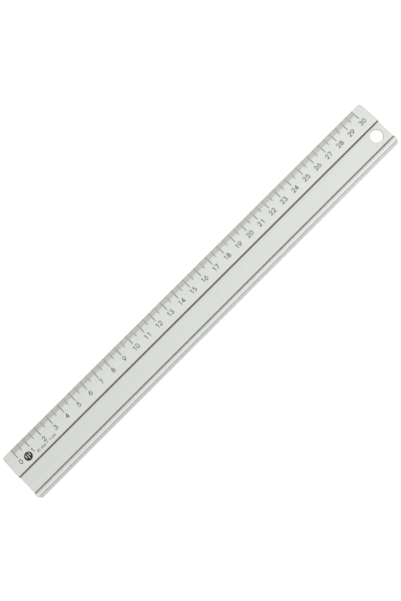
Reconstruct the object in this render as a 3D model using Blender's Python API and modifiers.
"""A 30 cm aluminium ruler with an inlaid steel cutting edge.

The body is one extruded aluminium bar: a bevelled facet that carries the scale,
a ridge, a shallow finger channel, and a rounded rib along the other side.
A flat steel strip is drawn into a slot under the rib and stands out past it,
so that a knife runs along steel. Two rubber strips sit in dovetail grooves
underneath, a little proud of the metal, and stop the ruler sliding.

Frame: +X runs along the scale from 0 to 30, +Y points to the scale edge, +Z is
up. The origin is on the table, under the middle of the ruler. Metres.
"""

import math

import bmesh
import bpy
from mathutils import Vector

# Overall size
LENGTH = 0.315              # over the sawn ends of the bar
WIDTH = 0.035               # from the scale edge to the steel edge
HEIGHT = 0.004              # from the table to the top of the ridge and the rib
STANDOFF = 0.00025          # the rubber holds the metal this far off the table
SCALE_END_MARGIN = 0.0075   # bare length before 0 and after 30

# Cross-section of the bar; "across" is measured from the scale edge
EDGE_THICKNESS = 0.00075    # of the thin scale edge
RIDGE_ACROSS = 0.0158       # where the facet reaches its full height
CHANNEL_ACROSS = (0.0167, 0.0295)
CHANNEL_HEIGHT = 0.0020     # of the channel's floor above the table
RIB_SHOULDER_ACROSS = 0.03045
RIB_SHOULDER_HEIGHT = 0.0036
RIB_CROWN_ACROSS = 0.03185
RIB_OUTER_ACROSS = 0.0333
BAR_WIDTH = 0.0335          # from the scale edge to the rib's outer foot
RIDGE_RADIUS = 0.0003
RIB_SHOULDER_RADIUS = 0.0008
RIB_CROWN_RADIUS = 0.0025
RIB_OUTER_RADIUS = 0.0003
ROOT_RADIUS = 0.0002        # where the channel's walls meet its floor
FOOT_RADIUS = 0.0001

# Scale corners, as seen from above
SCALE_CORNER_RADIUS = 0.0015
TRIM = 0.0005               # the bar is made this much too big, then cut to size

# Steel strip and its slot
STEEL_THICKNESS = 0.0010
STEEL_BASE = 0.00085        # its underside above the table
STEEL_INNER_ACROSS = 0.0302
STEEL_END_INSET = 0.0005    # the strip is this much shorter at each end
STEEL_CORNER_RADIUS = 0.0014
STEEL_EDGE_RADIUS = 0.0002
FIT_GAP = 0.0001            # between a strip and the slot or groove that holds it

# Rubber strips and their dovetail grooves
GROOVE_CENTRES = (0.0080, 0.0270)
GROOVE_MOUTH = 0.0040
GROOVE_FLARE = 0.00025      # the groove is this much wider inside, on each side
GROOVE_DEPTH = 0.0009
RUBBER_END_INSET = 0.0003
RUBBER_EDGE_RADIUS = 0.0001

# Hanging hole, drilled on the 30 line through the floor of the channel
HOLE_DIAMETER = 0.0085
HOLE_ACROSS = 0.0224        # from the scale edge to the hole's centre
HOLE_CHAMFER = 0.0002
HOLE_STEPS = 64

ARC_STEPS = 4               # straight steps in each rounded corner of an outline
WELD = 0.000001


def y_of(across):
    """World y of a distance measured from the scale edge."""
    return WIDTH / 2 - across


def arc_corner(before, corner, after, radius, steps):
    """Points of an arc of this radius in place of a corner between two straight sides."""
    to_before = (before - corner).normalized()
    to_after = (after - corner).normalized()
    half = to_before.angle(to_after) / 2
    centre = corner + (to_before + to_after).normalized() * radius / math.sin(half)
    start = corner + to_before * radius / math.tan(half) - centre
    sweep = start.angle_signed(corner + to_after * radius / math.tan(half) - centre)
    points = []
    for step in range(steps + 1):
        turn = -sweep * step / steps
        points.append(centre + Vector((
            start.x * math.cos(turn) - start.y * math.sin(turn),
            start.x * math.sin(turn) + start.y * math.cos(turn),
        )))
    return points


def rounded(corners, steps=ARC_STEPS):
    """An outline through corners given as (x, y, radius), with round corners."""
    outline = []
    count = len(corners)
    for i, (x, y, radius) in enumerate(corners):
        corner = Vector((x, y))
        if radius == 0:
            outline.append(corner)
            continue
        before = Vector(corners[i - 1][:2])
        after = Vector(corners[(i + 1) % count][:2])
        outline += arc_corner(before, corner, after, radius, steps)
    return outline


def make_material(name, colour, roughness, metallic):
    material = bpy.data.materials.new(name)
    material.use_nodes = True
    shader = material.node_tree.nodes["Principled BSDF"]
    shader.inputs["Base Color"].default_value = (*colour, 1)
    shader.inputs["Roughness"].default_value = roughness
    shader.inputs["Metallic"].default_value = metallic
    material.diffuse_color = (*colour, 1)
    return material


def extrude_outline(name, outline, depth, collection, along_x):
    """A solid of a flat outline, centred on its plane, along X or straight up."""
    curve = bpy.data.curves.new(name, "CURVE")
    curve.dimensions = "2D"
    curve.fill_mode = "BOTH"
    curve.extrude = depth / 2
    spline = curve.splines.new("POLY")
    spline.points.add(len(outline) - 1)
    for point, (x, y) in zip(spline.points, outline):
        point.co = (x, y, 0, 1)
    spline.use_cyclic_u = True
    drawn = bpy.data.objects.new(name + "_curve", curve)
    if along_x:
        # outline x becomes world y, outline y becomes world z
        drawn.rotation_euler = (math.pi / 2, 0, math.pi / 2)
    bpy.context.scene.collection.objects.link(drawn)
    bpy.context.view_layer.update()

    graph = bpy.context.evaluated_depsgraph_get()
    mesh = bpy.data.meshes.new_from_object(drawn.evaluated_get(graph))
    mesh.name = name
    shape = bmesh.new()
    shape.from_mesh(mesh)
    bmesh.ops.remove_doubles(shape, verts=shape.verts, dist=WELD)
    bmesh.ops.recalc_face_normals(shape, faces=shape.faces)
    shape.to_mesh(mesh)
    shape.free()

    solid = bpy.data.objects.new(name, mesh)
    solid.matrix_world = drawn.matrix_world.copy()
    collection.objects.link(solid)
    bpy.data.objects.remove(drawn)
    return solid


def cut_with(solid, cutter, operation="DIFFERENCE"):
    modifier = solid.modifiers.new(operation.title() + " " + cutter.name, "BOOLEAN")
    modifier.object = cutter
    modifier.operation = operation
    modifier.solver = "EXACT"


def hide_cutter(cutter):
    cutter.hide_render = True
    cutter.display_type = "WIRE"


def finish_part(part, material, root):
    part.data.materials.clear()
    part.data.materials.append(material)
    part.data.shade_smooth()
    part.data.set_sharp_from_angle(angle=math.radians(30))
    part.parent = root
    part.matrix_parent_inverse = root.matrix_world.inverted()


def groove_corners(centre):
    """Corners of one dovetail groove in the underside, from the steel side to the scale side."""
    half = GROOVE_MOUTH / 2
    top = STANDOFF + GROOVE_DEPTH
    return [
        (y_of(centre + half), STANDOFF, 0),
        (y_of(centre + half + GROOVE_FLARE), top, 0),
        (y_of(centre - half - GROOVE_FLARE), top, 0),
        (y_of(centre - half), STANDOFF, 0),
    ]


def bar_outline():
    """Cross-section of the bar, drawn from the scale edge over the top and back underneath."""
    facet_slope = (HEIGHT - STANDOFF - EDGE_THICKNESS) / RIDGE_ACROSS
    edge_top = STANDOFF + EDGE_THICKNESS - facet_slope * TRIM
    slot_top = STEEL_BASE + STEEL_THICKNESS + FIT_GAP
    slot_base = STEEL_BASE - FIT_GAP
    slot_inner = STEEL_INNER_ACROSS - FIT_GAP
    corners = [
        (y_of(-TRIM), STANDOFF, 0),
        (y_of(-TRIM), edge_top, 0),
        (y_of(RIDGE_ACROSS), HEIGHT, RIDGE_RADIUS),
        (y_of(CHANNEL_ACROSS[0]), CHANNEL_HEIGHT, ROOT_RADIUS),
        (y_of(CHANNEL_ACROSS[1]), CHANNEL_HEIGHT, ROOT_RADIUS),
        (y_of(RIB_SHOULDER_ACROSS), RIB_SHOULDER_HEIGHT, RIB_SHOULDER_RADIUS),
        (y_of(RIB_CROWN_ACROSS), HEIGHT, RIB_CROWN_RADIUS),
        (y_of(RIB_OUTER_ACROSS), HEIGHT, RIB_OUTER_RADIUS),
        (y_of(BAR_WIDTH), slot_top, 0),
        (y_of(slot_inner), slot_top, 0),
        (y_of(slot_inner), slot_base, 0),
        (y_of(BAR_WIDTH), slot_base, 0),
        (y_of(BAR_WIDTH), STANDOFF, FOOT_RADIUS),
    ]
    for centre in reversed(GROOVE_CENTRES):
        corners += groove_corners(centre)
    return rounded(corners)


def plan_blank(cutters):
    """What the bar is trimmed to from above: sawn ends and two rounded scale corners."""
    end = LENGTH / 2
    back = y_of(BAR_WIDTH + TRIM)
    outline = rounded([
        (-end, y_of(0), SCALE_CORNER_RADIUS),
        (-end, back, 0),
        (end, back, 0),
        (end, y_of(0), SCALE_CORNER_RADIUS),
    ])
    blank = extrude_outline("plan_blank", outline, 4 * HEIGHT, cutters, along_x=False)
    hide_cutter(blank)
    return blank


def hole_drill(cutters):
    """A turned drill for the hanging hole, wider at both faces so that it chamfers them."""
    radius = HOLE_DIAMETER / 2
    over = 2 * HOLE_CHAMFER
    profile = [
        (0, 2 * HEIGHT),
        (radius + over, 2 * HEIGHT),
        (radius + over, CHANNEL_HEIGHT + HOLE_CHAMFER),
        (radius, CHANNEL_HEIGHT - HOLE_CHAMFER),
        (radius, STANDOFF + HOLE_CHAMFER),
        (radius + over, STANDOFF - HOLE_CHAMFER),
        (radius + over, -HEIGHT),
        (0, -HEIGHT),
    ]
    mesh = bpy.data.meshes.new("hole_drill")
    edges = [(i, i + 1) for i in range(len(profile) - 1)]
    mesh.from_pydata([(r, 0, z) for r, z in profile], edges, [])
    drill = bpy.data.objects.new("hole_drill", mesh)
    drill.location = (LENGTH / 2 - SCALE_END_MARGIN, y_of(HOLE_ACROSS), 0)
    cutters.objects.link(drill)
    turn = drill.modifiers.new("Turn", "SCREW")
    turn.steps = HOLE_STEPS
    turn.render_steps = HOLE_STEPS
    turn.use_merge_vertices = True
    turn.merge_threshold = WELD
    hide_cutter(drill)
    return drill


def make_bar(parts, blank, drill):
    oversize = LENGTH + 2 * TRIM
    bar = extrude_outline("aluminium_profile", bar_outline(), oversize, parts, along_x=True)
    cut_with(bar, blank, "INTERSECT")
    cut_with(bar, drill)
    return bar


def make_steel_edge(parts):
    end = LENGTH / 2 - STEEL_END_INSET
    outline = rounded([
        (-end, y_of(STEEL_INNER_ACROSS), 0),
        (-end, y_of(WIDTH), STEEL_CORNER_RADIUS),
        (end, y_of(WIDTH), STEEL_CORNER_RADIUS),
        (end, y_of(STEEL_INNER_ACROSS), 0),
    ])
    strip = extrude_outline("steel_cutting_edge", outline, STEEL_THICKNESS, parts, along_x=False)
    strip.location.z = STEEL_BASE + STEEL_THICKNESS / 2
    edge = strip.modifiers.new("Rolled edges", "BEVEL")
    edge.width = STEEL_EDGE_RADIUS
    edge.segments = 2
    edge.limit_method = "ANGLE"
    edge.angle_limit = math.radians(60)
    return strip


def make_grip_strip(name, centre, parts):
    """A rubber strip that fills one groove and stands proud of the underside."""
    half = GROOVE_MOUTH / 2 - FIT_GAP
    top = STANDOFF + GROOVE_DEPTH - FIT_GAP
    outline = rounded([
        (y_of(centre + half), 0, RUBBER_EDGE_RADIUS),
        (y_of(centre + half), STANDOFF, 0),
        (y_of(centre + half + GROOVE_FLARE), top, 0),
        (y_of(centre - half - GROOVE_FLARE), top, 0),
        (y_of(centre - half), STANDOFF, 0),
        (y_of(centre - half), 0, RUBBER_EDGE_RADIUS),
    ])
    return extrude_outline(name, outline, LENGTH - 2 * RUBBER_END_INSET, parts, along_x=True)


def main():
    for old in list(bpy.data.objects):
        bpy.data.objects.remove(old)

    parts = bpy.data.collections.new("ruler")
    cutters = bpy.data.collections.new("cutters")
    for collection in (parts, cutters):
        bpy.context.scene.collection.children.link(collection)
    root = bpy.data.objects.new("ruler_frame", None)
    parts.objects.link(root)

    aluminium = make_material("satin_aluminium", (0.72, 0.73, 0.70), 0.38, 1.0)
    steel = make_material("ground_steel", (0.60, 0.60, 0.59), 0.25, 1.0)
    rubber = make_material("grip_rubber", (0.05, 0.05, 0.05), 0.85, 0.0)

    drill = hole_drill(cutters)
    bar = make_bar(parts, plan_blank(cutters), drill)
    steel_edge = make_steel_edge(parts)
    scale_side, steel_side = GROOVE_CENTRES
    grip_scale_side = make_grip_strip("grip_strip_scale_side", scale_side, parts)
    grip_steel_side = make_grip_strip("grip_strip_steel_side", steel_side, parts)
    cut_with(grip_steel_side, drill)

    finish_part(bar, aluminium, root)
    finish_part(steel_edge, steel, root)
    finish_part(grip_scale_side, rubber, root)
    finish_part(grip_steel_side, rubber, root)


main()
